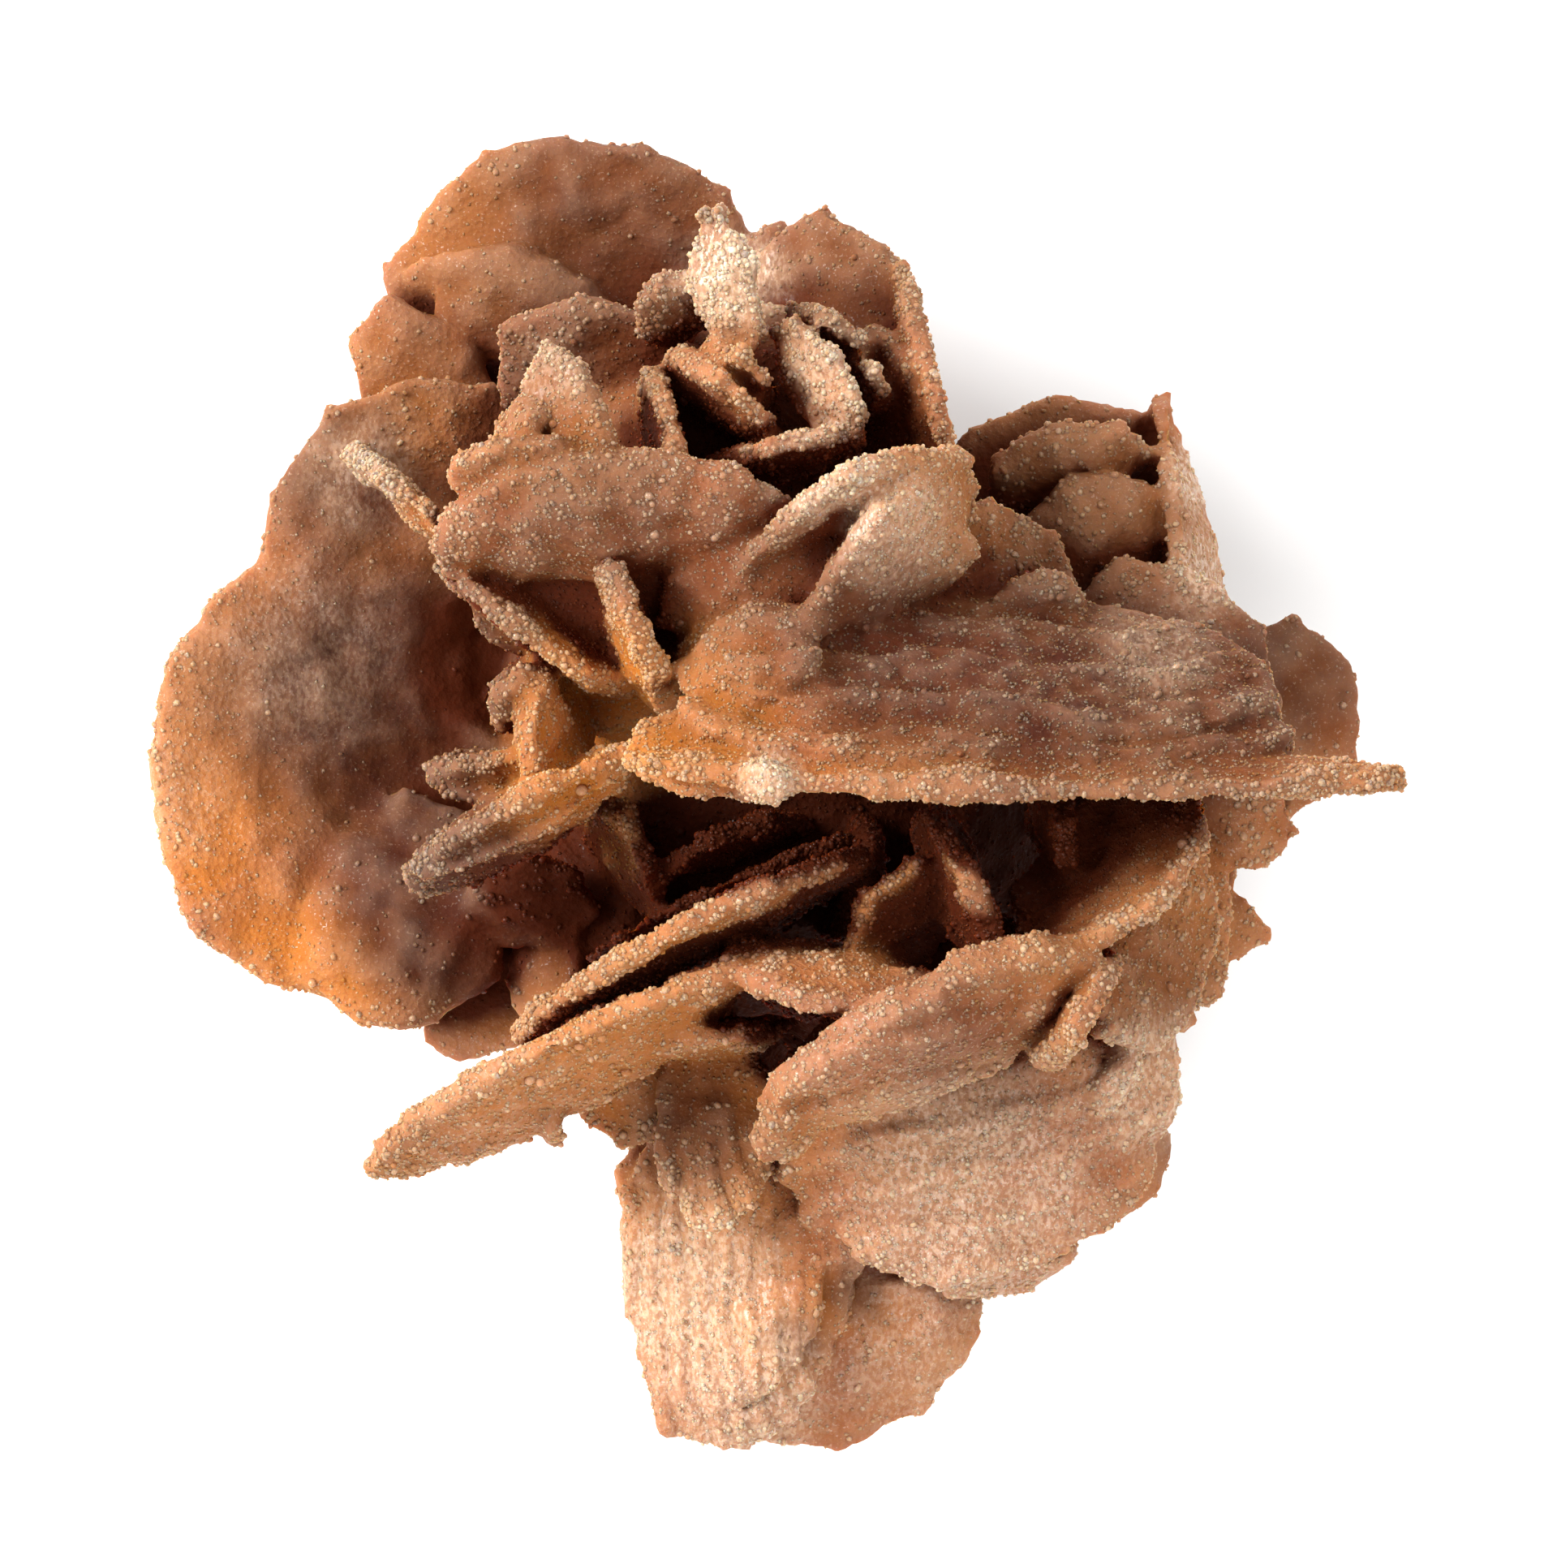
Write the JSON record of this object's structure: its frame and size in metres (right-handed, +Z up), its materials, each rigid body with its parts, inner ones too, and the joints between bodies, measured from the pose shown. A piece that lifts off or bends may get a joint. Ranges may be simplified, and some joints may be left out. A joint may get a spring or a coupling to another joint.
{
  "type": "gypsum sand rose",
  "caption": "Desert rose: a cluster of thin lens-shaped sandy gypsum crystals grown through one another, lying on its worn back with the open face of petal blades up.",
  "frame": {"origin": "on the surface it lies on, at the middle of the box of its footprint", "axes": "+Z up out of the open face of petals, +X to the right along the long front bar, +Y towards the tall crown of plates"},
  "size_m": [0.0772, 0.083, 0.0449],
  "materials": {
    "gypsum": "matt sandy gypsum, sugary with sand grains on the rims and faintly translucent where the blades are thin"
  },
  "bodies": {
    "root": {"rose": "gypsum"}
  },
  "joints": []
}
